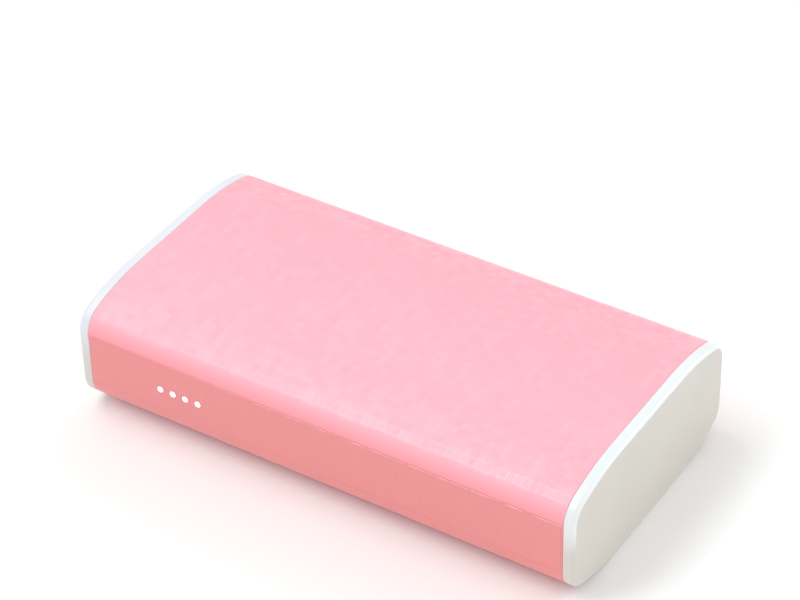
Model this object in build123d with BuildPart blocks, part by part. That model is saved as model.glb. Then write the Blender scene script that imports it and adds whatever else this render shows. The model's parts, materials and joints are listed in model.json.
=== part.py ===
from build123d import *
import os
from math import atan2, cos, pi, sin

# Millimetres.  +X runs along the body to the label end, the sockets are at the -X end,
# the indicator side faces -Y, +Z is up.  Origin: middle of the footprint, on the table.

# ---- driving sizes -------------------------------------------------------------------
cell_diameter = 18.3
cell_length = 65.0
cell_count = 5
cell_gap = 0.2
sleeve_wall = 1.8
end_stack = 2.2          # room for strip, paper and foam beyond each cell end
crown_room = 4.95        # room above and below the cells, under the wall
board_bay = 34.8         # length kept free for the board, behind the port cap
flat_width = 28.0        # flat strip along the middle of the top and of the base
corner_radius = 6.3
corner_setback = 4.1     # how much shorter than a cell's diameter the flat side is
cap_thickness = 3.0
cap_edge_radius = 1.1
skirt_depth = 4.0
skirt_wall = 1.5
tray_wall = 1.2
tray_floor = 1.4
rib_width = 2.4
board_width = 64.0
board_thickness = 1.6
indicator_pitch = 3.7
indicator_radius = 0.9
indicator_drop = 0.7     # below mid-height
socket_spacing = 17.0    # each type A socket's centre from the middle
shell_width = 13.14
shell_height = 5.9
shell_length = 14.0
shell_wall = 0.3
micro_width = 7.6
micro_height = 2.9
micro_length = 6.0
micro_wall = 0.25
ball_radius = 1.75
sensor_height = 9.0

# ---- clearances ----------------------------------------------------------------------
skirt_gap = 0.15
tray_gap = 0.2
pocket_gap = 0.15
end_gap = 0.5
hole_gap = 0.1
socket_gap = 0.25
joint_edge = 0.25        # softened edges where a cap meets the sleeve
ball_side_gap = 0.3
ball_rest_gap = 0.05

# ---- derived sizes -------------------------------------------------------------------
cells_span = cell_count * cell_diameter + (cell_count - 1) * cell_gap
body_width = cell_length + 2 * end_stack + 2 * sleeve_wall
body_height = cell_diameter + 2 * crown_room + 2 * sleeve_wall
body_length = (2 * cap_thickness + skirt_depth + end_gap + 2 * tray_wall
               + cells_span + board_bay)
mid_z = body_height / 2
side_half = (cell_diameter - corner_setback) / 2
end_x = body_length / 2
sleeve_x = end_x - cap_thickness
bay_x = -sleeve_x + board_bay            # the tray wall's face on the board side
cells_x = bay_x + tray_wall              # where the row of cells starts
cell_pitch = cell_diameter + cell_gap
cell_xs = [cells_x + cell_diameter / 2 + i * cell_pitch for i in range(cell_count)]

# The shoulder arc is tangent to the flat strip and to the corner arc.
shoulder_run = body_width / 2 - corner_radius - flat_width / 2
shoulder_rise = side_half - mid_z
shoulder_radius = ((shoulder_run ** 2 + shoulder_rise ** 2 - corner_radius ** 2)
                   / (-2 * (shoulder_rise + corner_radius)))
shoulder_angle = atan2(shoulder_rise + shoulder_radius, shoulder_run)

strip_thickness = 0.2
paper_thickness = 0.3
foam_thickness = 1.5
cell_end_y = cell_length / 2
wall_in_y = body_width / 2 - sleeve_wall

board_top = mid_z - shell_height / 2
board_low = board_top - board_thickness
board_x0 = -sleeve_x + 0.6
board_x1 = bay_x - 0.8
mouth_x = -end_x + 0.6
shell_back_x = mouth_x + shell_length
indicator_z = mid_z - indicator_drop
indicator_xs = [bay_x - 2.4 - (3 - i) * indicator_pitch for i in range(4)]
sensor_x = board_x1 - 8.5
sensor_y = 5.0
sensor_base_height = 1.2
sensor_wall = 0.4

tray_tail_x = -sleeve_x + skirt_depth + 0.4
boss_radius = 2.6
pilot_radius = 0.8
pilot_depth = 4.0
screw_hole_radius = 1.1
screw_y = 28.3
screw_edge = 6.2
screw_tail = 3.2
screw_from_led = 5.2        # screw beside the first indicator: clear of its LED
screw_offset = 1.55         # outer front screw: this much nearer the board's edge than halfway
inner_screw_x = indicator_xs[0] - screw_from_led
outer_screw_x = (board_x0 + inner_screw_x) / 2 - screw_offset
screw_spots = [(board_x0 + screw_edge, screw_y), (outer_screw_x, -screw_y),
               (inner_screw_x, -screw_y), (board_x1 - screw_tail, screw_y)]


def pillow_loop(inset):
    """Closed outline of the casing's section (Y across, Z up), moved inwards by inset."""
    outer_r = shoulder_radius - inset
    inner_r = corner_radius - inset
    half_flat = flat_width / 2
    centre_y = body_width / 2 - corner_radius
    turn = (pi / 2 + shoulder_angle) / 2
    with BuildLine() as loop:
        for side in (1, -1):
            for up in (1, -1):

                def at(y, z):
                    return (side * y, mid_z + up * z)

                def on_shoulder(angle):
                    return at(half_flat + outer_r * cos(angle),
                              body_height / 2 - shoulder_radius + outer_r * sin(angle))

                def on_corner(angle):
                    return at(centre_y + inner_r * cos(angle),
                              side_half + inner_r * sin(angle))

                ThreePointArc(on_shoulder(pi / 2), on_shoulder(turn),
                              on_shoulder(shoulder_angle))
                ThreePointArc(on_corner(shoulder_angle), on_corner(shoulder_angle / 2),
                              on_corner(0))
            Line((side * (body_width / 2 - inset), mid_z - side_half),
                 (side * (body_width / 2 - inset), mid_z + side_half))
        for z in (inset, body_height - inset):
            Line((-half_flat, z), (half_flat, z))
    return loop.edges()


def cap_blank(outward):
    """End cap: a plate with a rounded rim and a skirt with two snap ridges.

    outward is +1 for the label end and -1 for the port end."""
    inner_x = outward * sleeve_x
    skirt_inset = sleeve_wall + skirt_gap
    with BuildPart() as cap:
        with BuildSketch(Plane.YZ.offset(inner_x)):
            make_face(pillow_loop(0))
        extrude(amount=outward * cap_thickness)
        fillet(cap.faces().sort_by(Axis.X)[-1 if outward > 0 else 0].edges(), cap_edge_radius)
        fillet(cap.faces().sort_by(Axis.X)[0 if outward > 0 else -1].edges(), joint_edge)
        with BuildSketch(Plane.YZ.offset(inner_x)):
            make_face(pillow_loop(skirt_inset))
            make_face(pillow_loop(skirt_inset + skirt_wall), mode=Mode.SUBTRACT)
        extrude(amount=-outward * skirt_depth)
        for z in (skirt_inset, body_height - skirt_inset):
            ridge_z = z + (0.025 if z > mid_z else -0.025)
            with Locations((inner_x - outward * (skirt_depth - 1.0), 0, ridge_z)):
                Box(1.0, 20.0, 0.85)
    return cap.part


def cell_cradle(up):
    """Half of the cell tray: a floor along the casing, end walls and ribs, with round
    pockets for the cells.  up is -1 for the lower half and +1 for the upper half."""
    inset = sleeve_wall + tray_gap
    reach = cell_end_y - 2.0
    length = cells_span + 2 * tray_wall
    with BuildPart() as cradle:
        with BuildSketch(Plane.YZ.offset(bay_x)):
            make_face(pillow_loop(inset))
            make_face(pillow_loop(inset + tray_floor), mode=Mode.SUBTRACT)
            for y in (-reach + rib_width / 2, -reach / 3, reach / 3, reach - rib_width / 2):
                with Locations((y, mid_z)):
                    Rectangle(rib_width, body_height)
        extrude(amount=length)
        for x in (bay_x + tray_wall / 2, bay_x + length - tray_wall / 2):
            with Locations((x, 0, mid_z)):
                Box(tray_wall, 2 * reach, body_height)
        with BuildSketch(Plane.YZ.offset(bay_x)):
            make_face(pillow_loop(inset))
        extrude(amount=length, mode=Mode.INTERSECT)
        with Locations((bay_x + length / 2, 0, mid_z + up * (body_height / 4 + tray_gap))):
            Box(length, 2 * reach, body_height / 2, mode=Mode.INTERSECT)
        for x in cell_xs:
            with Locations((x, 0, mid_z)):
                Cylinder(cell_diameter / 2 + pocket_gap, cell_length,
                         rotation=(90, 0, 0), mode=Mode.SUBTRACT)
    return cradle.part


def board_shelf():
    """Floor under the board, following the casing, with bosses that carry the board."""
    inset = sleeve_wall + tray_gap
    length = bay_x - tray_tail_x
    with BuildPart() as shelf:
        with BuildSketch(Plane.YZ.offset(tray_tail_x)):
            make_face(pillow_loop(inset))
            make_face(pillow_loop(inset + tray_floor), mode=Mode.SUBTRACT)
        extrude(amount=length)
        for x, y in screw_spots:
            with Locations((x, y, board_low / 2)):
                Cylinder(boss_radius, board_low)
        with BuildSketch(Plane.YZ.offset(tray_tail_x)):
            make_face(pillow_loop(inset))
        extrude(amount=length, mode=Mode.INTERSECT)
        with Locations((tray_tail_x + length / 2, 0, board_low / 2)):
            Box(length, 2 * (cell_end_y - 2.0), board_low, mode=Mode.INTERSECT)
    return shelf.part


# ---- casing --------------------------------------------------------------------------
with BuildPart() as outer_sleeve:
    with BuildSketch(Plane.YZ.offset(-sleeve_x)):
        make_face(pillow_loop(0))
    extrude(amount=2 * sleeve_x)
    for end in (0, -1):
        fillet(outer_sleeve.faces().sort_by(Axis.X)[end].edges(), joint_edge)
    with BuildSketch(Plane.YZ.offset(-sleeve_x)):
        make_face(pillow_loop(sleeve_wall))
    extrude(amount=2 * sleeve_x, mode=Mode.SUBTRACT)
    # slots for the caps' snap ridges
    for end in (1, -1):
        for z in (sleeve_wall - 0.275, body_height - sleeve_wall + 0.275):
            with Locations((end * (sleeve_x - skirt_depth + 1.0), 0, z)):
                Box(1.4, 21.0, 0.55, mode=Mode.SUBTRACT)
    # holes for the four indicators
    for x in indicator_xs:
        with Locations((x, -(wall_in_y + sleeve_wall / 2), indicator_z)):
            Cylinder(indicator_radius + hole_gap, 2 * sleeve_wall,
                     rotation=(90, 0, 0), mode=Mode.SUBTRACT)

with BuildPart() as port_cap:
    add(cap_blank(-1))
    with BuildSketch(Plane.YZ.offset(-end_x)):
        with Locations((socket_spacing, mid_z), (-socket_spacing, mid_z)):
            Rectangle(shell_width + 2 * socket_gap, shell_height + 2 * socket_gap)
        with Locations((0, board_top + micro_height / 2)):
            Rectangle(micro_width + 2 * socket_gap, micro_height + 2 * socket_gap)
    extrude(amount=cap_thickness, mode=Mode.SUBTRACT)

with BuildPart() as label_cap:
    add(cap_blank(1))

# ---- cell pack -----------------------------------------------------------------------
with BuildPart() as lower_cell_tray:
    add(cell_cradle(-1))
    add(board_shelf())
    for x, y in screw_spots:
        with Locations((x, y, board_low)):
            Cylinder(pilot_radius, 2 * pilot_depth, mode=Mode.SUBTRACT)

with BuildPart() as upper_cell_tray:
    add(cell_cradle(1))

cells = []
for x in cell_xs:
    with BuildPart() as cell:
        with Locations((x, 0.4, mid_z)):
            Cylinder(cell_diameter / 2, cell_length - 0.8, rotation=(90, 0, 0))
        fillet(cell.edges(), 0.6)
        with Locations((x, -cell_end_y + 0.5, mid_z)):
            Cylinder(3.0, 1.0, rotation=(90, 0, 0))
    cells.append(cell.part)

with BuildPart() as cell_insulator_rings:
    for x in cell_xs:
        with Locations((x, -cell_end_y + 0.65, mid_z)):
            Cylinder(7.4, 0.3, rotation=(90, 0, 0))
        with Locations((x, -cell_end_y + 0.65, mid_z)):
            Cylinder(3.3, 0.3, rotation=(90, 0, 0), mode=Mode.SUBTRACT)

strip_x0 = bay_x - 4.0
strip_x1 = cell_xs[-1] + 6.0
strip_height = 8.0
tab_height = 3.0
tab_z = mid_z + 4.4
strip_y = cell_end_y + strip_thickness / 2


def tie_strip(side):
    """Flat strip across all cell ends, with a narrow tab that reaches the board bay."""
    with BuildPart() as strip:
        with Locations(((cells_x + strip_x1) / 2, side * strip_y, mid_z + 1.9)):
            Box(strip_x1 - cells_x, strip_thickness, strip_height)
        with Locations(((strip_x0 + cells_x + 2) / 2, side * strip_y, tab_z)):
            Box(cells_x + 2 - strip_x0, strip_thickness, tab_height)
    return strip.part


with BuildPart() as positive_strip:
    add(tie_strip(-1))

with BuildPart() as negative_strip:
    add(tie_strip(1))


def end_sheet(side, inner_y, thickness, height):
    """Flat sheet standing beyond the cell ends, from inner_y outwards."""
    with BuildPart() as sheet:
        with Locations((cells_x + cells_span / 2, side * (inner_y + thickness / 2), mid_z)):
            Box(cells_span, thickness, height)
    return sheet.part


paper_y = cell_end_y + strip_thickness
foam_y = paper_y + paper_thickness
with BuildPart() as front_insulation_paper:
    add(end_sheet(-1, paper_y, paper_thickness, 2 * side_half))

with BuildPart() as back_insulation_paper:
    add(end_sheet(1, paper_y, paper_thickness, 2 * side_half))

with BuildPart() as front_foam_strip:
    add(end_sheet(-1, foam_y, foam_thickness, 2 * side_half - 2.0))

with BuildPart() as back_foam_strip:
    add(end_sheet(1, foam_y, foam_thickness, 2 * side_half - 2.0))

# ---- board and what stands on it -----------------------------------------------------
with BuildPart() as main_board:
    with Locations(((board_x0 + board_x1) / 2, 0, board_top - board_thickness / 2)):
        Box(board_x1 - board_x0, board_width, board_thickness)
    for x, y in screw_spots:
        with Locations((x, y, board_top - board_thickness / 2)):
            Cylinder(screw_hole_radius, board_thickness, mode=Mode.SUBTRACT)

with BuildPart() as board_screws:
    for x, y in screw_spots:
        with Locations((x, y, board_top + 0.6)):
            Cylinder(1.9, 1.2)
        with Locations((x, y, board_top - 2.3)):
            Cylinder(0.78, 4.6)
        with Locations((x, y, board_top + 1.0)):
            Box(2.2, 0.5, 0.5, mode=Mode.SUBTRACT)
            Box(0.5, 2.2, 0.5, mode=Mode.SUBTRACT)


def type_a_shell(y):
    """Folded metal shell of a type A socket, open at its mouth."""
    with BuildPart() as shell:
        with BuildSketch(Plane.YZ.offset(mouth_x)):
            with Locations((y, mid_z)):
                Rectangle(shell_width, shell_height)
                Rectangle(shell_width - 2 * shell_wall, shell_height - 2 * shell_wall,
                          mode=Mode.SUBTRACT)
        extrude(amount=shell_length)
    return shell.part


tongue_z = mid_z + 0.95
tongue_height = 1.8


def type_a_tongue(y):
    """Moulded insert: a block across the back of the shell and a tongue towards the mouth,
    with four grooves for the contacts."""
    block = 3.0
    inner_w = shell_width - 2 * shell_wall
    inner_h = shell_height - 2 * shell_wall
    with BuildPart() as tongue:
        with Locations((shell_back_x - block / 2, y, mid_z)):
            Box(block, inner_w, inner_h)
        with Locations(((mouth_x + 1.2 + shell_back_x - block) / 2, y, tongue_z)):
            Box(shell_back_x - block - mouth_x - 1.2, 11.1, tongue_height)
        for spot in (-3.5, -1.0, 1.0, 3.5):
            with Locations((mouth_x + 6.2, y + spot, tongue_z - tongue_height / 2 + 0.1)):
                Box(7.6, 1.0, 0.2, mode=Mode.SUBTRACT)
    return tongue.part


def type_a_contacts(y):
    """Four flat contacts lying in the tongue's grooves."""
    with BuildPart() as contacts:
        for spot in (-3.5, -1.0, 1.0, 3.5):
            with Locations((mouth_x + 6.2, y + spot, tongue_z - tongue_height / 2 + 0.05)):
                Box(7.6, 1.0, 0.3)
    return contacts.part


with BuildPart() as front_type_a_shell:
    add(type_a_shell(-socket_spacing))

with BuildPart() as back_type_a_shell:
    add(type_a_shell(socket_spacing))

with BuildPart() as front_type_a_tongue:
    add(type_a_tongue(-socket_spacing))

with BuildPart() as back_type_a_tongue:
    add(type_a_tongue(socket_spacing))

with BuildPart() as front_type_a_contacts:
    add(type_a_contacts(-socket_spacing))

with BuildPart() as back_type_a_contacts:
    add(type_a_contacts(socket_spacing))

micro_z = board_top + micro_height / 2
with BuildPart() as micro_socket_shell:
    with BuildSketch(Plane.YZ.offset(mouth_x)):
        with Locations((0, micro_z)):
            Rectangle(micro_width, micro_height)
        with Locations((0, micro_z)):
            Rectangle(micro_width - 2 * micro_wall, micro_height - 2 * micro_wall,
                      mode=Mode.SUBTRACT)
    extrude(amount=micro_length)

with BuildPart() as micro_socket_tongue:
    with Locations((mouth_x + micro_length - 0.75, 0, micro_z)):
        Box(1.5, micro_width - 2 * micro_wall, micro_height - 2 * micro_wall)
    with Locations((mouth_x + (micro_length - 0.7) / 2, 0, micro_z + 0.35)):
        Box(micro_length - 2.3, 3.8, 0.7)

with BuildPart() as micro_socket_contacts:
    for spot in range(5):
        with Locations((mouth_x + 2.7, (spot - 2) * 0.65, micro_z - 0.075)):
            Box(3.0, 0.3, 0.15)

indicator_leds = []
led_y = -(board_width / 2 - 1.7)
for x in indicator_xs:
    with BuildPart() as led:
        with Locations((x, led_y, board_top + 1.6)):
            Box(2.6, 1.6, 3.2)
        with Locations((x, led_y - 0.8, indicator_z)):
            Cylinder(0.6, 0.6, rotation=(90, 0, 0))
    indicator_leds.append(led.part)

with BuildPart() as indicator_light_guide:
    guide_in_y = led_y - 0.8 - 0.3 - 0.1
    for x in indicator_xs:
        with Locations((x, -(body_width / 2 + -guide_in_y) / 2, indicator_z)):
            Cylinder(indicator_radius, body_width / 2 + guide_in_y, rotation=(90, 0, 0))
    bar_x = (indicator_xs[0] + indicator_xs[-1]) / 2
    with Locations((bar_x, -(wall_in_y - 0.8), indicator_z)):
        Box(indicator_xs[-1] - indicator_xs[0] + 1.2, 1.0, 1.2)

with BuildPart() as power_inductor:
    with Locations((board_x1 - 7.5, 18.0, board_top + 2.0)):
        Box(8.0, 8.0, 4.0)
    fillet(power_inductor.edges().filter_by(Axis.Z), 1.6)

with BuildPart() as charge_control_chip:
    with Locations((board_x1 - 7.0, -6.0, board_top + 0.5)):
        Box(4.0, 4.0, 0.9)
    for side in (-1, 1):
        for spot in (-1.5, -0.5, 0.5, 1.5):
            with Locations((board_x1 - 7.0 + side * 2.3, -6.0 + spot, board_top + 0.1)):
                Box(0.8, 0.4, 0.2)

with BuildPart() as boost_chip:
    with Locations((board_x1 - 7.0, -15.0, board_top + 0.8)):
        Box(3.9, 4.9, 1.4)
    for side in (-1, 1):
        for spot in (-1.905, -0.635, 0.635, 1.905):
            with Locations((board_x1 - 7.0 + side * 2.4, -15.0 + spot, board_top + 0.15)):
                Box(1.1, 0.42, 0.3)

with BuildPart() as output_capacitors:
    for y in (-22.5, 11.0):
        with Locations((board_x1 - 13.0, y, board_top + 2.7)):
            Cylinder(2.5, 5.4)

with BuildPart() as ceramic_capacitors:
    for dx, y in ((12.5, -10.0), (12.5, -14.0), (12.5, 17.0), (2.2, -8.0), (2.2, 10.0)):
        with Locations((board_x1 - dx, y, board_top + 0.45)):
            Box(1.6, 3.2, 0.9)

# ---- shake sensor --------------------------------------------------------------------
can_in_radius = ball_radius + ball_side_gap
can_out_radius = can_in_radius + sensor_wall
with BuildPart() as shake_sensor_base:
    with Locations((sensor_x, sensor_y, board_top + sensor_base_height / 2)):
        Box(6.0, 6.0, sensor_base_height)

with BuildPart() as shake_sensor_can:
    can_z = board_top + sensor_base_height
    with Locations((sensor_x, sensor_y, can_z + sensor_height / 2)):
        Cylinder(can_out_radius, sensor_height)
    fillet(shake_sensor_can.faces().sort_by(Axis.Z)[-1].edges(), 0.3)
    with Locations((sensor_x, sensor_y, can_z + (sensor_height - sensor_wall) / 2)):
        Cylinder(can_in_radius, sensor_height - sensor_wall, mode=Mode.SUBTRACT)

with BuildPart() as shake_sensor_ball:
    with Locations((sensor_x, sensor_y, can_z + ball_rest_gap + ball_radius)):
        Sphere(ball_radius)

# ---- battery leads -------------------------------------------------------------------
wire_radius = 0.75


def battery_wire(side):
    """Soft lead from a strip's tab down to the board, in straight runs and tangent arcs."""
    start_y = side * (cell_end_y - wire_radius)
    drop_x = board_x1 - 6.0
    drop_y = side * (board_width / 2 - 7.4)
    with BuildPart() as wire:
        with BuildLine() as path:
            FilletPolyline(
                (strip_x0 + 1.0, start_y, tab_z),
                (drop_x, start_y, tab_z),
                (drop_x, drop_y, tab_z - 1.6),
                (drop_x, drop_y, board_top),
                radius=[1.6, 2.6],
            )
        with BuildSketch(Plane(origin=path.line @ 0, z_dir=path.line % 0)):
            Circle(wire_radius)
        sweep(path=path.line)
    return wire.part


with BuildPart() as positive_wire:
    add(battery_wire(-1))

with BuildPart() as negative_wire:
    add(battery_wire(1))

# ---- export --------------------------------------------------------------------------
pieces = {
    "outer_sleeve": outer_sleeve.part,
    "port_cap": port_cap.part,
    "label_cap": label_cap.part,
    "lower_cell_tray": lower_cell_tray.part,
    "upper_cell_tray": upper_cell_tray.part,
    "cell_insulator_rings": cell_insulator_rings.part,
    "positive_strip": positive_strip.part,
    "negative_strip": negative_strip.part,
    "front_insulation_paper": front_insulation_paper.part,
    "back_insulation_paper": back_insulation_paper.part,
    "front_foam_strip": front_foam_strip.part,
    "back_foam_strip": back_foam_strip.part,
    "main_board": main_board.part,
    "board_screws": board_screws.part,
    "front_type_a_shell": front_type_a_shell.part,
    "back_type_a_shell": back_type_a_shell.part,
    "front_type_a_tongue": front_type_a_tongue.part,
    "back_type_a_tongue": back_type_a_tongue.part,
    "front_type_a_contacts": front_type_a_contacts.part,
    "back_type_a_contacts": back_type_a_contacts.part,
    "micro_socket_shell": micro_socket_shell.part,
    "micro_socket_tongue": micro_socket_tongue.part,
    "micro_socket_contacts": micro_socket_contacts.part,
    "indicator_light_guide": indicator_light_guide.part,
    "power_inductor": power_inductor.part,
    "charge_control_chip": charge_control_chip.part,
    "boost_chip": boost_chip.part,
    "output_capacitors": output_capacitors.part,
    "ceramic_capacitors": ceramic_capacitors.part,
    "shake_sensor_base": shake_sensor_base.part,
    "shake_sensor_can": shake_sensor_can.part,
    "shake_sensor_ball": shake_sensor_ball.part,
    "positive_wire": positive_wire.part,
    "negative_wire": negative_wire.part,
}
for number, cell_part in enumerate(cells, 1):
    pieces[f"battery_cell_{number}"] = cell_part
for number, led_part in enumerate(indicator_leds, 1):
    pieces[f"indicator_led_{number}"] = led_part

os.makedirs("parts", exist_ok=True)
for name, piece in pieces.items():
    piece.label = name
    export_step(piece, f"parts/{name}.step")
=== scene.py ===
"""A pocket power bank: each CAD node's finish, the fine pieces that ride on it, and its studio."""

import json
from math import atan2, cos, pi, radians, sin

import bpy
import numpy as np
from mathutils import Matrix, Vector


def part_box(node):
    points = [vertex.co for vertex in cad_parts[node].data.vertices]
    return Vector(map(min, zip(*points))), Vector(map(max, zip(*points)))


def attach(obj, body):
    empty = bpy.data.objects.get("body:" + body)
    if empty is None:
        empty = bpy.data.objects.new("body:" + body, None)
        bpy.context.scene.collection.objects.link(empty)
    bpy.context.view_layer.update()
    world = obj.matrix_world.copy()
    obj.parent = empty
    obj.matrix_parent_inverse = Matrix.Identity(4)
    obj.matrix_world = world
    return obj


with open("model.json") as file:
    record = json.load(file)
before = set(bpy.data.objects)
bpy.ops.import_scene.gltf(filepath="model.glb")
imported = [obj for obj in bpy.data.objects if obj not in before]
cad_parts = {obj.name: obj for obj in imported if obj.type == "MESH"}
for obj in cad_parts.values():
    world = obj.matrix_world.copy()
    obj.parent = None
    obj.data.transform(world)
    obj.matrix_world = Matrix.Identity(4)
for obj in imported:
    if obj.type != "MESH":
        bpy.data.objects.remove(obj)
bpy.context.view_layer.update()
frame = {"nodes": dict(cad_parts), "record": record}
nodes = frame["nodes"]
MM = 0.001


# ---- measures ------------------------------------------------------------------------------
def corners(node):
    """Lowest and highest corner of a CAD node, as numpy arrays in metres."""
    low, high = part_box(node)
    return np.array(low), np.array(high)


sleeve_low, sleeve_high = corners("outer_sleeve")
guide_low, guide_high = corners("indicator_light_guide")
board_low, board_high = corners("main_board")

MID_Z = (sleeve_low[2] + sleeve_high[2]) / 2
HALF_WIDTH = (sleeve_high[1] - sleeve_low[1]) / 2
HALF_HEIGHT = (sleeve_high[2] - sleeve_low[2]) / 2
SLEEVE_X = (sleeve_high[0] - sleeve_low[0]) / 2
END_X = corners("label_cap")[1][0]
CORNER_RADIUS = 6.3 * MM
HALF_FLAT = 14.0 * MM       # half of the crown's flat strip
SIDE_HALF = 7.1 * MM        # half of the flat side's height
SHOULDER_RUN = HALF_WIDTH - CORNER_RADIUS - HALF_FLAT
SHOULDER_RISE = SIDE_HALF - HALF_HEIGHT
SHOULDER_RADIUS = ((SHOULDER_RUN ** 2 + SHOULDER_RISE ** 2 - CORNER_RADIUS ** 2)
                   / (-2 * (SHOULDER_RISE + CORNER_RADIUS)))
SHOULDER_ANGLE = atan2(SHOULDER_RISE + SHOULDER_RADIUS, SHOULDER_RUN)
# arc lengths from the middle of the crown to the start and the end of the corner arc
CORNER_START = HALF_FLAT + SHOULDER_RADIUS * (pi / 2 - SHOULDER_ANGLE)
CORNER_END = CORNER_START + CORNER_RADIUS * SHOULDER_ANGLE

INDICATORS = 4
INDICATOR_PITCH = 3.7 * MM
PRONG_RADIUS = 0.9 * MM
FIRST_INDICATOR_X = guide_low[0] + PRONG_RADIUS
INDICATOR_Z = (guide_low[2] + guide_high[2]) / 2
indicator_spots = [(FIRST_INDICATOR_X + k * INDICATOR_PITCH, -HALF_WIDTH, INDICATOR_Z)
                   for k in range(INDICATORS)]

BOARD_TOP = board_high[2]
SCREW_SPOTS = ((-0.0602, 0.0283), (-0.0602, -0.0283), (-0.0509, -0.0283), (-0.0362, 0.0283))
WIRE_X = board_high[0] - 6.0 * MM    # where the two leads meet the board
WIRE_Y = board_high[1] - 7.4 * MM

EDGE_MARGIN = 0.35 * MM     # fine pieces stop this far short of the sleeve's ends
TILE = 2.05 * MM
TILE_GROOVE = 0.2 * MM
TILES_LONG = 65
TILES_ROUND = 36
TILES_X = EDGE_MARGIN - SLEEVE_X    # where the first tile starts along the sleeve
TILES_T = -36.7 * MM                # the arc length where the first tile starts
GLINT_ROW_T = 33.65 * MM             # the arc length of the row of tiles whose grooves carry a painted glint
GLINT_ROW_HALF = 1.4 * MM            # half of that row's width
STUD = 0.93 * MM
STUD_ROWS = 15
STUD_HEIGHT = 0.06 * MM


# ---- shader maths --------------------------------------------------------------------------
class Term:
    """A shader number. Python's operators and the methods here add the nodes for its maths."""

    def __init__(self, finish, socket):
        self.finish = finish
        self.socket = socket

    def math(self, operation, *others):
        made = self.finish.node("ShaderNodeMath", {"operation": operation},
                                dict(enumerate((self, *others))))
        return Term(self.finish, made.outputs[0])

    def __add__(self, other):
        return self.math("ADD", other)

    __radd__ = __add__

    def __mul__(self, other):
        return self.math("MULTIPLY", other)

    __rmul__ = __mul__

    def __sub__(self, other):
        return self.math("SUBTRACT", other)

    def __rsub__(self, other):
        return (self * -1.0) + other

    def __truediv__(self, other):
        return self.math("DIVIDE", other)

    def __abs__(self):
        return self.math("ABSOLUTE")

    def floor(self):
        return self.math("FLOOR")

    def fract(self):
        return self.math("FRACT")

    def least(self, other):
        return self.math("MINIMUM", other)

    def most(self, other):
        return self.math("MAXIMUM", other)

    def ease(self, start, end):
        """0 below start, 1 above end, smooth between; start may lie above end."""
        made = self.finish.node(
            "ShaderNodeMapRange", {"interpolation_type": "SMOOTHSTEP"},
            {"Value": self, "From Min": min(start, end), "From Max": max(start, end),
             "To Min": 0.0 if start < end else 1.0, "To Max": 1.0 if start < end else 0.0})
        return Term(self.finish, made.outputs[0])


class Finish:
    """A material built around one Principled shader, with Object coordinates as x, y, z."""

    def __init__(self, name, **shader):
        self.material = bpy.data.materials.new(name)
        self.material.use_nodes = True
        self.tree = self.material.node_tree
        self.tree.nodes.clear()
        self.shader = self.node("ShaderNodeBsdfPrincipled")
        out = self.node("ShaderNodeOutputMaterial")
        self.tree.links.new(self.shader.outputs[0], out.inputs[0])
        self.place = self.node("ShaderNodeTexCoord").outputs["Object"]
        split = self.node("ShaderNodeSeparateXYZ", {}, {0: self.place})
        self.x, self.y, self.z = (Term(self, socket) for socket in split.outputs)
        for key, value in shader.items():
            self.shader.inputs[key.replace("_", " ").title()].default_value = value

    def node(self, kind, settings=None, values=None):
        """Adds a node: its settings first, then a value or a link for each named socket."""
        made = self.tree.nodes.new(kind)
        for key, value in (settings or {}).items():
            setattr(made, key, value)
        for key, value in (values or {}).items():
            source = value.socket if isinstance(value, Term) else value
            if isinstance(source, bpy.types.NodeSocket):
                self.tree.links.new(source, made.inputs[key])
            else:
                made.inputs[key].default_value = source
        return made

    def joined(self, x, y, z):
        return self.node("ShaderNodeCombineXYZ", {}, {0: x, 1: y, 2: z}).outputs[0]

    def noise(self, scale, detail=2.0, rough=0.5, place=None):
        made = self.node("ShaderNodeTexNoise", {},
                         {"Vector": place or self.place, "Scale": scale, "Detail": detail,
                          "Roughness": rough})
        return Term(self, made.outputs[0])

    def chance(self, x, y, z):
        """One even random number from 0 to 1 for each whole-number cell."""
        made = self.node("ShaderNodeTexWhiteNoise", {"noise_dimensions": "3D"},
                         {"Vector": self.joined(x, y, z)})
        return Term(self, made.outputs["Value"])

    def blend(self, amount, first, second):
        """A colour between two colours (each a tuple or a socket)."""
        values = {0: amount}
        for index, colour in ((6, first), (7, second)):
            values[index] = (*colour, 1.0) if isinstance(colour, tuple) else colour
        made = self.node("ShaderNodeMix", {"data_type": "RGBA", "clamp_factor": True}, values)
        return made.outputs[2]

    def feed(self, name, value):
        source = value.socket if isinstance(value, Term) else value
        self.tree.links.new(source, self.shader.inputs[name])

    def bump(self, height, depth, strength=1.0):
        """Relief of the given depth in metres for a height from 0 to 1."""
        made = self.node("ShaderNodeBump", {},
                         {"Height": height, "Distance": depth, "Strength": strength})
        self.feed("Normal", made.outputs[0])


# ---- finishes ------------------------------------------------------------------------------
# Flank pink is the sides' colour; the crown pinks are painted light from above and a painted sheen,
# the corner pink is painted shading, and the groove colour is a painted glint.
FLANK_PINK = (0.795, 0.27, 0.276)
FLANK_PINK_LIGHT = (0.815, 0.284, 0.29)
CORNER_PAINTED_SHADING_PINK = (0.97, 0.345, 0.40)
CROWN_PAINTED_LIGHT_PINK = (0.94, 0.395, 0.473)
CROWN_PAINTED_SHEEN_PINK = (0.943, 0.428, 0.510)
TILE_PALE = (1.0, 0.50, 0.58)
TILE_DEEP = (0.76, 0.24, 0.28)
GROOVE_PAINTED_GLINT = (1.0, 0.85, 0.90)


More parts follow.
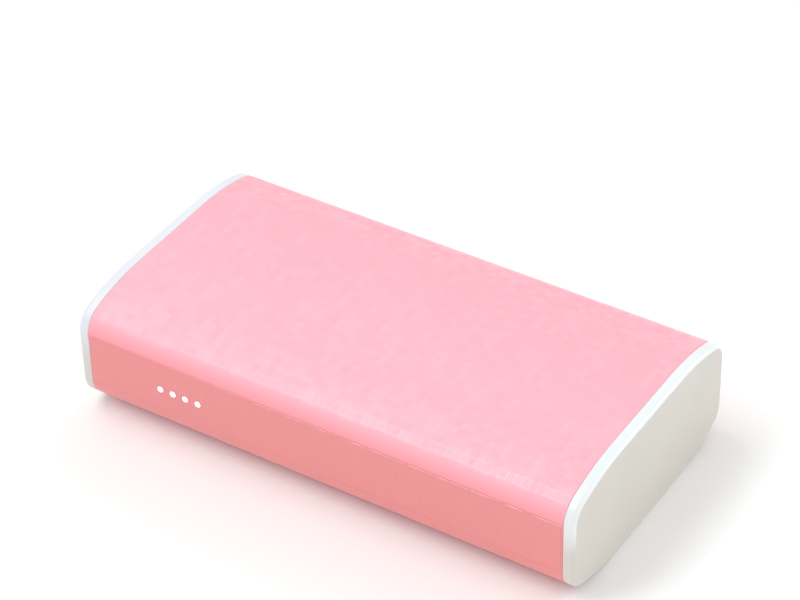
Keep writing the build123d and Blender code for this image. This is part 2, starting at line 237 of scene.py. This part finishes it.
def sleeve_finish(name="sleeve_pink", toned=False):
    """Pink moulded plastic, duller on the sides. The crown, top and bottom alike, is painted paler
    than the sides as painted light from above, and paler still towards the indicator side as a
    painted sheen; the upper corners are painted a deeper, more saturated pink as painted shading.

    Under the sleeve, whole-number cells of length and arc length make a mosaic of paler tiles. A
    toned piece carries an attribute instead: above 0 a tile is paler, below 0 deeper, and what is
    over 1 paints a groove nearly white as a painted glint."""
    pink = Finish(name)
    rise = pink.z - MID_Z
    above = rise.ease(SIDE_HALF + 1.0 * MM, SIDE_HALF + 4.2 * MM)
    below = rise.ease(-SIDE_HALF - 5.0 * MM, -SIDE_HALF - 6.2 * MM)
    corner = rise.ease(SIDE_HALF - 0.2 * MM, SIDE_HALF + 1.2 * MM)
    mottle = pink.noise(240.0, 3.0)
    flank = pink.blend(mottle, FLANK_PINK, FLANK_PINK_LIGHT)
    # painted shading: the upper corners in a deeper, more saturated pink
    body = pink.blend(corner, flank, CORNER_PAINTED_SHADING_PINK)
    # painted sheen: the crown painted paler towards the indicator side
    crown = pink.blend(pink.y.ease(26.0 * MM, -24.0 * MM), CROWN_PAINTED_LIGHT_PINK, CROWN_PAINTED_SHEEN_PINK)
    # painted light: the crown, top and bottom, paler than the flanks
    colour = pink.blend(above.most(below), body, crown)

    reach = abs(pink.y).most(HALF_FLAT) - HALF_FLAT
    shoulder_run = (reach / SHOULDER_RADIUS).math("ARCSINE") * SHOULDER_RADIUS
    run = abs(pink.y).least(HALF_FLAT) + shoulder_run
    luck = pink.chance(((pink.x - TILES_X) / TILE).floor(), (run / TILE).floor(),
                       pink.y / abs(pink.y))
    colour = pink.blend(below * luck.ease(0.55, 1.0) * 0.25, colour, TILE_PALE)
    if toned:
        reader = pink.node("ShaderNodeAttribute", {"attribute_name": "tone"})
        tone = Term(pink, reader.outputs["Fac"])
        colour = pink.blend(tone.most(0.0).least(1.0) * 0.5, colour, TILE_PALE)
        colour = pink.blend((tone * -0.5).most(0.0), colour, TILE_DEEP)
        # painted glint: tone over 1 paints a groove nearly white
        colour = pink.blend((tone - 1.0).most(0.0), colour, GROOVE_PAINTED_GLINT)
    pink.feed("Base Color", colour)
    matt_side = abs(rise).ease(SIDE_HALF + 0.3 * MM, SIDE_HALF)
    pink.feed("Roughness", 0.36 + 0.05 * mottle + 0.1 * matt_side)
    pink.bump(pink.noise(1600.0, 2.0), 0.01 * MM, 0.3)
    return pink


def moulded_finish(name, colour, shade, roughness=0.4, grain=900.0, depth=0.012):
    """Plain moulded plastic: slight mottling and a fine spark-eroded grain."""
    made = Finish(name)
    mottle = made.noise(60.0, 3.0)
    made.feed("Base Color", made.blend(mottle.ease(0.3, 0.7), colour, shade))
    grit = made.noise(grain * 2, 2.0)
    made.feed("Roughness", roughness - 0.04 + 0.08 * grit)
    made.bump(grit, depth * MM, 0.35)
    return made


def seam_finish():
    """Thin moulding line, pink with a painted highlight that pales it in dashes towards the label
    end.
    """
    made = Finish("seam_light", roughness=0.3)
    paler = (made.x / SLEEVE_X).ease(-1.0, 0.4) * made.noise(420.0).ease(0.3, 0.55)
    made.feed("Base Color", made.blend(paler, (0.88, 0.34, 0.35), (1.0, 0.68, 0.74)))
    return made


def cap_finish():
    """White moulded plastic, warmer and duller on the flat end face than on the rim. The rim has
    a cool painted highlight where it rounds into the label face, and painted shade that makes it
    greyer at the port end and darker and warmer low down."""
    made = Finish("cap_white")
    face = abs(made.x).ease(END_X - 0.07 * MM, END_X - 0.005 * MM)
    mottle = made.noise(60.0, 3.0).ease(0.3, 0.7)
    rim = made.blend(mottle, (0.76, 0.80, 0.83), (0.78, 0.82, 0.85))
    # painted highlight: a cool, near-white band where the rim rounds into the label face
    rounding = made.x.ease(END_X - 0.9 * MM, END_X - 0.3 * MM)
    rim = made.blend(rounding, rim, (0.84, 0.90, 0.94))
    # painted shade: the rim greyer towards the port end
    rim = made.blend(made.x.ease(0.0, -SLEEVE_X), rim, (0.71, 0.745, 0.80))
    # painted shade: the rim darker and warmer low down
    rim = made.blend(made.z.ease(14.0 * MM, 23.0 * MM), (0.66, 0.635, 0.60), rim)
    flat = made.blend(mottle, (0.635, 0.61, 0.565), (0.655, 0.63, 0.585))
    made.feed("Base Color", made.blend(face, rim, flat))
    grit = made.noise(1800.0, 2.0)
    made.feed("Roughness", 0.26 + 0.18 * face + 0.08 * grit)
    made.bump(grit, 0.012 * MM, 0.35)
    return made


def metal_finish(name, colour, shade, roughness=0.3):
    """Bare metal with rolling marks along X."""
    made = Finish(name, metallic=1.0)
    drawn_out = {"Vector": made.place, "Scale": (1.0, 12.0, 12.0)}
    streak_place = made.node("ShaderNodeMapping", {}, drawn_out)
    streak = made.noise(400.0, 3.0, 0.6, streak_place.outputs[0])
    made.feed("Base Color", made.blend(streak, colour, shade))
    made.feed("Roughness", roughness - 0.06 + 0.14 * streak)
    made.bump(streak, 0.006 * MM, 0.4)
    return made


def board_finish():
    """Green solder mask with copper tracks showing faintly through."""
    made = Finish("board_green", roughness=0.32)
    pitch = 2.2 * MM
    lane = (made.y / pitch).fract() - 0.5
    jog = made.chance((made.x / (4 * pitch)).floor(), (made.y / pitch).floor(), 5.0)
    track = abs(lane).ease(0.22, 0.16) * jog.ease(0.35, 0.4)
    mask = made.blend(made.noise(120.0), (0.02, 0.16, 0.07), (0.03, 0.21, 0.10))
    made.feed("Base Color", made.blend(track * 0.8, mask, (0.06, 0.33, 0.16)))
    made.bump(track, 0.03 * MM, 0.5)
    return made


def cell_finish():
    """Shrink wrap on a cell: blue film with a soft sheen and shrink ripples at the rims."""
    made = Finish("cell_wrap", roughness=0.28)
    ripple = made.noise(260.0, 2.0)
    near_end = abs(made.y).ease(30.0 * MM, 32.2 * MM)
    film = made.blend(ripple, (0.05, 0.20, 0.42), (0.07, 0.25, 0.50))
    made.feed("Base Color", made.blend(near_end * 0.5, film, (0.20, 0.38, 0.60)))
    made.bump(ripple * near_end, 0.08 * MM, 0.5)
    return made


def glow_finish():
    """Milky lens with the light behind it switched on, its glow slightly mottled."""
    made = Finish("lens_glow", roughness=0.15, emission_strength=0.75)
    made.feed("Base Color", made.blend(made.noise(900.0), (0.93, 0.93, 0.93), (0.97, 0.97, 0.97)))
    made.feed("Emission Color", made.blend(made.noise(500.0), (0.96, 0.97, 1.0), (1.0, 1.0, 1.0)))
    return made


# colour, its other shade, then roughness, grain and depth of grain where they differ
MOULDED = {
    "seam_shade": ((0.80, 0.27, 0.28), (0.84, 0.285, 0.295), 0.5),
    "lens_collar": ((0.86, 0.22, 0.27), (0.88, 0.24, 0.29), 0.4),
    "tray_plastic": ((0.035, 0.037, 0.04), (0.05, 0.05, 0.055)),
    "ring_white": ((0.78, 0.77, 0.73), (0.85, 0.84, 0.80), 0.7),
    "paper_green": ((0.28, 0.34, 0.24), (0.34, 0.40, 0.29), 0.8),
    "foam_grey": ((0.03, 0.03, 0.032), (0.06, 0.06, 0.065), 0.95, 500, 0.2),
    "insert_white": ((0.75, 0.75, 0.73), (0.80, 0.80, 0.78), 0.3),
    "insert_black": ((0.01, 0.01, 0.01), (0.02, 0.02, 0.02), 0.3),
    "led_white": ((0.78, 0.74, 0.55), (0.85, 0.82, 0.66), 0.25),
    "guide_clear": ((0.93, 0.93, 0.93), (0.97, 0.97, 0.97), 0.2),
    "ferrite": ((0.02, 0.02, 0.022), (0.045, 0.045, 0.05), 0.6),
    "chip_black": ((0.012, 0.012, 0.014), (0.025, 0.025, 0.027), 0.5),
    "ceramic_tan": ((0.36, 0.25, 0.16), (0.44, 0.32, 0.21), 0.5),
    "wire_red": ((0.50, 0.01, 0.01), (0.60, 0.02, 0.015), 0.45),
    "wire_black": ((0.012, 0.012, 0.012), (0.03, 0.03, 0.03), 0.45),
}
# colour, its other shade, then roughness where it differs
METAL = {
    "nickel": ((0.62, 0.60, 0.56), (0.72, 0.70, 0.66)),
    "screw_steel": ((0.55, 0.55, 0.57), (0.68, 0.68, 0.70)),
    "socket_steel": ((0.60, 0.60, 0.61), (0.72, 0.72, 0.73), 0.26),
    "contact_gold": ((0.80, 0.55, 0.20), (0.90, 0.68, 0.32), 0.22),
    "capacitor_can": ((0.60, 0.61, 0.63), (0.74, 0.75, 0.77)),
    "sensor_brass": ((0.72, 0.52, 0.24), (0.84, 0.66, 0.36)),
    "ball_steel": ((0.66, 0.66, 0.68), (0.78, 0.78, 0.80), 0.15),
}
finishes = {
    "sleeve_pink": sleeve_finish(),
    "mosaic": sleeve_finish("mosaic", toned=True),
    "seam_light": seam_finish(),
    "lens_glow": glow_finish(),
    "cap_white": cap_finish(),
    "cell_wrap": cell_finish(),
    "board_green": board_finish(),
}
finishes |= {name: moulded_finish(name, *look) for name, look in MOULDED.items()}
finishes |= {name: metal_finish(name, *look) for name, look in METAL.items()}
for part in frame["record"]["subparts"]:
    mesh = nodes[part["node"]].data
    mesh.materials.clear()
    mesh.materials.append(finishes[part["material_slot"]].material)


# ---- fine pieces ---------------------------------------------------------------------------
def casing_point(t):
    """Outline of the casing at arc length t from the middle of its crown: y, height over
    mid-height, and the outward normal. The outline is a flat strip, a shoulder arc, a corner arc
    and a flat flank, each tangent to the next; t below 0 lies on the indicator side."""
    side = np.where(t < 0, -1.0, 1.0)
    run = np.abs(t)
    shoulder = pi / 2 - (run - HALF_FLAT) / SHOULDER_RADIUS
    corner = SHOULDER_ANGLE - (run - CORNER_START) / CORNER_RADIUS
    places = [run < HALF_FLAT, run < CORNER_START, run < CORNER_END]
    y = np.select(places, [run, HALF_FLAT + SHOULDER_RADIUS * np.cos(shoulder),
                           HALF_WIDTH - CORNER_RADIUS + CORNER_RADIUS * np.cos(corner)], HALF_WIDTH)
    z = np.select(places, [HALF_HEIGHT + 0 * run,
                           HALF_HEIGHT - SHOULDER_RADIUS + SHOULDER_RADIUS * np.sin(shoulder),
                           SIDE_HALF + CORNER_RADIUS * np.sin(corner)],
                  SIDE_HALF - (run - CORNER_END))
    turn = np.select(places, [pi / 2 + 0 * run, shoulder, corner], 0.0)
    return side * y, z, side * np.cos(turn), np.sin(turn)


def add_piece(name, points, faces, finish, slot, body="casing", sharp=None, tone=None):
    """A piece from points and faces, smooth but for edges above the sharp angle."""
    mesh = bpy.data.meshes.new(name)
    mesh.from_pydata(points.reshape(-1, 3).tolist(), [], faces)
    mesh.shade_smooth()
    if sharp is not None:
        mesh.set_sharp_from_angle(angle=radians(sharp))
    if tone is not None:
        layer = mesh.attributes.new("tone", "FLOAT", "POINT")
        layer.data.foreach_set("value", tone.ravel().astype(np.float32))
    mesh.materials.append(finishes[finish].material)
    piece = bpy.data.objects.new(name, mesh)
    bpy.context.scene.collection.objects.link(piece)
    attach(piece, body)


def grid(x, y, z):
    """Points (rows, columns, xyz) from three arrays that spread over the same rows and columns."""
    return np.stack(np.broadcast_arrays(x, y, z), -1)


def slab(name, outer, inner, *look, tone=None, sharp=None):
    """Closed sheet between two grids of points (rows, columns, xyz) with the same layout. A tone
    is given for the outer grid, and is 0 on the inner one."""
    rows, columns = outer.shape[:2]
    index = np.arange(rows * columns).reshape(rows, columns)
    quads = np.stack([index[:-1, :-1], index[1:, :-1], index[1:, 1:], index[:-1, 1:]], -1)
    quads = quads.reshape(-1, 4)
    border = np.concatenate([index[0, :-1], index[:-1, -1], index[-1, :0:-1], index[:0:-1, 0]])
    after = np.roll(border, -1)
    shift = rows * columns
    wall = np.stack([border, after, after + shift, border + shift], -1)
    faces = np.concatenate([quads, quads[:, ::-1] + shift, wall])
    points = np.concatenate([outer.reshape(-1, 3), inner.reshape(-1, 3)])
    tones = None if tone is None else np.stack([tone, 0 * tone])
    add_outward(name, points, faces.tolist(), *look, tone=tones, sharp=sharp)


def tube(name, rings, *look, **more):
    """Closed tube through rings of points (stations, around, xyz), with a flat face at each end."""
    stations, around = rings.shape[:2]
    index = np.arange(stations * around).reshape(stations, around)
    after = np.roll(index, -1, axis=1)
    faces = np.stack([index[:-1], index[1:], after[1:], after[:-1]], -1).reshape(-1, 4).tolist()
    faces += [index[0].tolist(), index[-1, ::-1].tolist()]
    add_outward(name, rings.reshape(-1, 3), faces, *look, **more)


def add_outward(name, points, faces, *look, **more):
    """Adds a closed piece with its faces turned outwards: the volume they enclose is positive."""
    first, second, third = (np.array([face[k] for face in faces]) for k in range(3))
    last = np.array([face[-1] for face in faces])
    centre = points.mean(axis=0)
    a, b, c, d = (points[pick] - centre for pick in (first, second, third, last))
    if np.sum(a * np.cross(b, c)) + np.sum(a * np.cross(c, d)) < 0:
        faces = [face[::-1] for face in faces]
    add_piece(name, points, faces, *look, **more)


def tile_values():
    """Tone and tilts of each tile, and luck for its two groove lines. Arrays are (along, around).

    Tone starts as small random scatter. Paler bars three tiles long and paler lone tiles are
    added, more of them towards the indicator side, and a few darker tiles. What is darker is then
    weakened, and paler tiles are added along the two corners as painted glints."""
    dice = np.random.default_rng(42)
    shape = (TILES_LONG, TILES_ROUND)
    bars_round = TILES_ROUND // 3
    tone = dice.normal(0.0, 0.16, shape)
    bars = dice.random((TILES_LONG, bars_round)) < np.linspace(0.27, 0.06, bars_round)
    tone += 0.7 * np.repeat(bars, 3, axis=1)
    tone += 0.66 * (dice.random(shape) < np.linspace(0.22, 0.07, TILES_ROUND))
    tone -= 0.16 * (dice.random(shape) < 0.07)
    tone = np.where(tone < 0.0, 0.6 * tone, tone)
    tone[:, [0, -1]] = np.abs(tone[:, [0, -1]])
    tilts = dice.normal(0.0, 0.004 * MM, (2, *shape))
    luck = dice.random((2, *shape))
    # painted glints: paler tiles along the corners, where the light catches them
    from_border = np.minimum(np.arange(TILES_ROUND), np.arange(TILES_ROUND)[::-1])
    near_corner = np.exp(-((from_border - 4.5) / 2.2) ** 2)
    tone += 0.75 * (dice.random(shape) < 0.36 * near_corner)
    return np.clip(tone, -1.0, 1.0), tilts, luck


def tile_lines(start, count, steps):
    """Grid lines over a run of tiles: position, tile number, place within the tile from -1 to 1,
    and whether the line lies on a tile or in a groove."""
    tile, step = np.divmod(np.arange(count * len(steps) + 1), len(steps))
    place = start + tile * TILE + np.array(steps)[step]
    tile = np.minimum(tile, count - 1)
    return place, tile, (place - start) / (TILE / 2) - 2 * tile - 1, step > 0


def crown_mosaic(name):
    """Sheet of square tiles over the upper crown of the sleeve, parted by shallow V grooves.

    Each point is the casing's point at arc length t, moved out by its tile's lift: the tile's
    height, plus a tilt that grows from its centre, and nothing in the grooves. The sheet dips
    into the sleeve at its long borders. Along each upper corner, one row of tiles has its grooves
    painted bright as a painted glint, brighter towards the label end: the row is
    exp(-(distance / half width) ^ 8). Tile tones grow stronger towards the corners, also painted
    glint."""
    tone, tilts, luck = tile_values()
    x, tile_x, off_x, flat_x = tile_lines(
        TILES_X, TILES_LONG, (0.0, TILE_GROOVE, TILE - TILE_GROOVE))
    t, tile_t, off_t, flat_t = tile_lines(
        TILES_T, TILES_ROUND, (0.0, TILE_GROOVE, TILE / 3, 2 * TILE / 3, TILE - TILE_GROOVE))
    x = x[:, None]
    pick = np.ix_(tile_x, tile_t)
    on_tile = flat_x[:, None] & flat_t[None, :]
    lift = 0.012 * MM + 0.005 * MM * tone
    tilt = tilts[0][pick] * off_x[:, None] + tilts[1][pick] * off_t[None, :]
    fade = np.clip((-TILES_T - np.abs(t)) / TILE + 0.15, 0.0, 1.0)
    rise = fade * (0.004 * MM + on_tile * (lift[pick] + tilt)) - 0.03 * MM * (1.0 - fade)
    y, z, normal_y, normal_z = casing_point(t)

    def sheet(out):
        return grid(x, y + normal_y * out, MID_Z + z + normal_z * out)

    chance = np.where(flat_x[:, None], luck[1][pick], luck[0][pick])
    # painted glint: bright grooves along one row at each upper corner, brighter towards the label
    # end
    glint_row = np.exp(-(((np.abs(t) - GLINT_ROW_T) / GLINT_ROW_HALF) ** 8)) * (chance > 0.03)
    bright = 0.45 * glint_row * (0.65 + 0.35 * chance) * (0.5 + 0.5 * x / SLEEVE_X)
    bright = np.where(bright > 0.05, 1.0 + bright, 0.0)
    # painted glint: tile tones stronger towards the corners
    near_edge = np.clip((np.abs(t) - 22.0 * MM) / (6.0 * MM), 0.0, 1.0)
    toned = np.where(on_tile, fade * (0.62 + 0.38 * near_edge) * tone[pick], bright)
    slab(name, sheet(rise), sheet(0 * rise - 0.25 * MM), "mosaic", "sleeve_pink", sharp=12,
         tone=toned)


def studded_flank(name, side):
    """Side panel with a square lattice of tiny round studs, smooth around the indicators.

    Lift = stud height times the product of two raised cosines, to a power that narrows each."""
    per_stud = 4
    columns = int(2 * (SLEEVE_X - 0.4 * MM) / STUD)
    x = np.linspace(-columns, columns, columns * per_stud + 1)[:, None] * STUD / 2
    z = np.linspace(-STUD_ROWS, STUD_ROWS, STUD_ROWS * per_stud + 1) * STUD / 2
    wave_x = 0.5 - 0.5 * np.cos(2 * pi * (x - x[0]) / STUD)
    wave_z = 0.5 - 0.5 * np.cos(2 * pi * (z - z[0]) / STUD)
    lift = STUD_HEIGHT * (wave_x * wave_z) ** 1.5
    for spot in indicator_spots if side < 0 else []:
        away = np.hypot(x - spot[0], z + MID_Z - spot[2])
        lift = lift * np.clip((away - 1.05 * MM) / (0.4 * MM), 0.0, 1.0)

    def sheet(out):
        return grid(x, side * (HALF_WIDTH + out), MID_Z + z)

    slab(name, sheet(lift + 0.012 * MM), sheet(0 * lift - 0.2 * MM), "mosaic", "sleeve_pink",
         tone=0.72 * lift / lift.max() - 0.20)


def seam_bead(name, side, over, finish):
    """Thin raised line where the upper corner meets the side panel: a round bar sunk to half its
    thickness, over the seam by a given height. Sine waves along its length move it up and down,
    swell it and sink it a little, so that it breaks off here and there."""
    x = np.linspace(-1.0, 1.0, 900)[:, None] * (SLEEVE_X - EDGE_MARGIN)
    turn = np.linspace(0, 2 * pi, 11)[:-1]
    waver = 0.05 * MM * np.sin(2900.0 * x) + 0.04 * MM * np.sin(1170.0 * x + 1.3)
    radius = 0.10 * MM * (0.8 + 0.2 * np.sin(740.0 * x))
    sink = 0.03 * MM + 0.03 * MM * np.sin(1930.0 * x) * np.sin(610.0 * x + 0.7)
    rings = grid(x, side * (HALF_WIDTH - sink + radius * np.cos(turn)),
                 MID_Z + SIDE_HALF + over + waver + radius * np.sin(turn))
    tube(name, rings, finish, "sleeve_pink")


def turned(name, spot, out, profile, finish, slot):
    """Piece turned about an axis through a spot. Each pair of its profile, in mm, is a circle's
    radius and how far along the way out it stands."""
    across = np.array((1.0, 0.0, 0.0))
    turn = np.linspace(0, 2 * pi, 41)[:-1, None]
    circle = np.cos(turn) * across + np.sin(turn) * np.cross(out, across)
    radii, steps = MM * np.array(profile).T[:, :, None, None]
    tube(name, np.array(spot) + radii * circle + steps * np.array(out), finish, slot, sharp=40)


def leaf_spring(name, shell, side):
    """Bowed leaf on a socket's lower inner wall: height is a half sine wave, squared, along the
    leaf, and the leaf is thinner at its two long edges."""
    low, high = corners(shell)
    along = np.linspace(0.0, 1.0, 17)[:, None]
    across = np.array((-0.8, -0.6, 0.6, 0.8)) * MM
    thickness = np.array((0.06, 0.16, 0.16, 0.06)) * MM
    x = low[0] + (1.0 + 6.0 * along) * MM
    y = (low[1] + high[1]) / 2 + side * 2.9 * MM + across
    z = low[2] + (0.26 + 0.5 * np.sin(pi * along) ** 2) * MM
    slab(name, grid(x, y, z + thickness), grid(x, y, z + 0 * thickness), "socket_steel",
         "socket_steel", sharp=40)


COLLAR = ((1.16, -0.3), (1.14, 0.03), (1.05, 0.06), (0.2, 0.06))
LENS = ((0.84, -0.3), (0.84, 0.10), (0.81, 0.15), (0.72, 0.21), (0.57, 0.25), (0.36, 0.275),
        (0.1, 0.285))
SCREW_PAD = ((2.9, -0.1), (2.9, 0.02), (2.85, 0.035), (0.2, 0.035))
SOLDER_CONE = ((1.5, -0.1), (1.45, 0.05), (1.2, 0.25), (0.95, 0.5), (0.8, 0.62), (0.2, 0.66))
FORWARD = (0, -1, 0)
UPWARD = (0, 0, 1)

crown_mosaic("sleeve_mosaic")
for label, side in (("front", -1), ("back", 1)):
    studded_flank(f"side_studs_{label}", side)
    seam_bead(f"seam_bead_{label}", side, 0.0, "seam_light")
    seam_bead(f"seam_shade_{label}", side, 0.36 * MM, "seam_shade")
for number, spot in enumerate(indicator_spots, 1):
    turned(f"indicator_collar_{number}", spot, FORWARD, COLLAR, "lens_collar", "sleeve_pink")
    turned(f"indicator_lens_{number}", spot, FORWARD, LENS, "lens_glow", "guide_clear")
for place in ("front", "back"):
    for number, side in enumerate((-1, 1), 1):
        leaf_spring(f"{place}_socket_spring_{number}", f"{place}_type_a_shell", side)
for number, (x, y) in enumerate(SCREW_SPOTS, 1):
    turned(f"screw_pad_{number}", (x, y, BOARD_TOP), UPWARD, SCREW_PAD, "contact_gold",
           "contact_gold")
for wire, side in (("positive_wire", -1), ("negative_wire", 1)):
    turned(f"{wire}_joint", (WIRE_X, side * WIRE_Y, BOARD_TOP), UPWARD, SOLDER_CONE, "nickel",
           "nickel")


# ---- studio --------------------------------------------------------------------------------
VIEW_TURN = radians(33.123)      # the camera stands to the right of the indicator side
VIEW_RISE = radians(38.136)
VIEW_ROLL = radians(-1.423)
VIEW_DISTANCE = 0.70938
VIEW_LENS = 130.19
AIM_RIGHT = 0.000275             # what the camera aims at, from the casing's middle
AIM_UP = 0.016321
# place, size, power and colour of each lamp
LAMPS = {
    "key": ((-0.85, -0.2, 1.78), (1.4, 0.85), 12.4, (0.93, 0.97, 1.0)),
    "back": ((-0.86, 1.32, 1.24), (1.4, 1.0), 2.6, (0.98, 0.99, 1.0)),
    "edge": ((-0.75, -0.95, 1.4), (0.5, 0.5), 5.6, (0.97, 0.98, 1.0)),
    "rim": ((0.9, 1.0, 0.65), (0.8, 0.6), 6.7, (0.90, 0.96, 1.0)),
    "fill": ((0.8, -1.05, 0.42), (0.9, 0.6), 1.65, (1.0, 0.88, 0.76)),
}
FLOOR_REACH = 6.0


def set_camera():
    """A long lens looking down at the label end and the indicator side."""
    back = Vector((sin(VIEW_TURN) * cos(VIEW_RISE), -cos(VIEW_TURN) * cos(VIEW_RISE),
                   sin(VIEW_RISE)))
    level = Vector((cos(VIEW_TURN), sin(VIEW_TURN), 0.0))
    steep = back.cross(level)
    right = cos(VIEW_ROLL) * level + sin(VIEW_ROLL) * steep
    up = cos(VIEW_ROLL) * steep - sin(VIEW_ROLL) * level
    aim = Vector((0.0, 0.0, MID_Z)) + AIM_RIGHT * right + AIM_UP * up
    lens = bpy.data.cameras.new("studio_camera")
    lens.lens = VIEW_LENS
    lens.sensor_width = 36.0
    lens.clip_start = 0.01
    camera = bpy.data.objects.new("studio_camera", lens)
    turn = Matrix((right, up, back)).transposed().to_4x4()
    camera.matrix_world = Matrix.Translation(aim + back * VIEW_DISTANCE) @ turn
    bpy.context.scene.collection.objects.link(camera)
    bpy.context.scene.camera = camera


def softbox(name, place, size, power, colour):
    """A soft rectangular area light at a place, facing the object."""
    lamp = bpy.data.lights.new(name, "AREA")
    lamp.shape = "RECTANGLE"
    lamp.size, lamp.size_y = size
    lamp.energy = power
    lamp.color = colour
    light = bpy.data.objects.new(name, lamp)
    light.location = place
    light.rotation_euler = (Vector(place) * -1.0).to_track_quat("-Z", "Y").to_euler()
    bpy.context.scene.collection.objects.link(light)


def set_studio():
    """White floor, even white surroundings and the soft lamps, the brightest from above."""
    floor_mesh = bpy.data.meshes.new("floor")
    edges = [(x * FLOOR_REACH, y * FLOOR_REACH, 0) for x, y in ((-1, -1), (1, -1), (1, 1), (-1, 1))]
    floor_mesh.from_pydata(edges, [], [(0, 1, 2, 3)])
    floor = bpy.data.objects.new("floor", floor_mesh)
    bpy.context.scene.collection.objects.link(floor)
    paper = Finish("floor_paper", roughness=0.9)
    paper.feed("Base Color", paper.blend(paper.noise(3.0), (0.94, 0.94, 0.94), (0.95, 0.95, 0.95)))
    floor_mesh.materials.append(paper.material)

    world = bpy.data.worlds.new("surroundings")
    world.use_nodes = True
    sky = world.node_tree.nodes["Background"]
    sky.inputs["Color"].default_value = (1.0, 0.98, 0.95, 1.0)
    sky.inputs["Strength"].default_value = 0.67
    bpy.context.scene.world = world
    bpy.context.scene.view_settings.view_transform = "Standard"

    for name, lamp in LAMPS.items():
        softbox(name, *lamp)


set_camera()
set_studio()
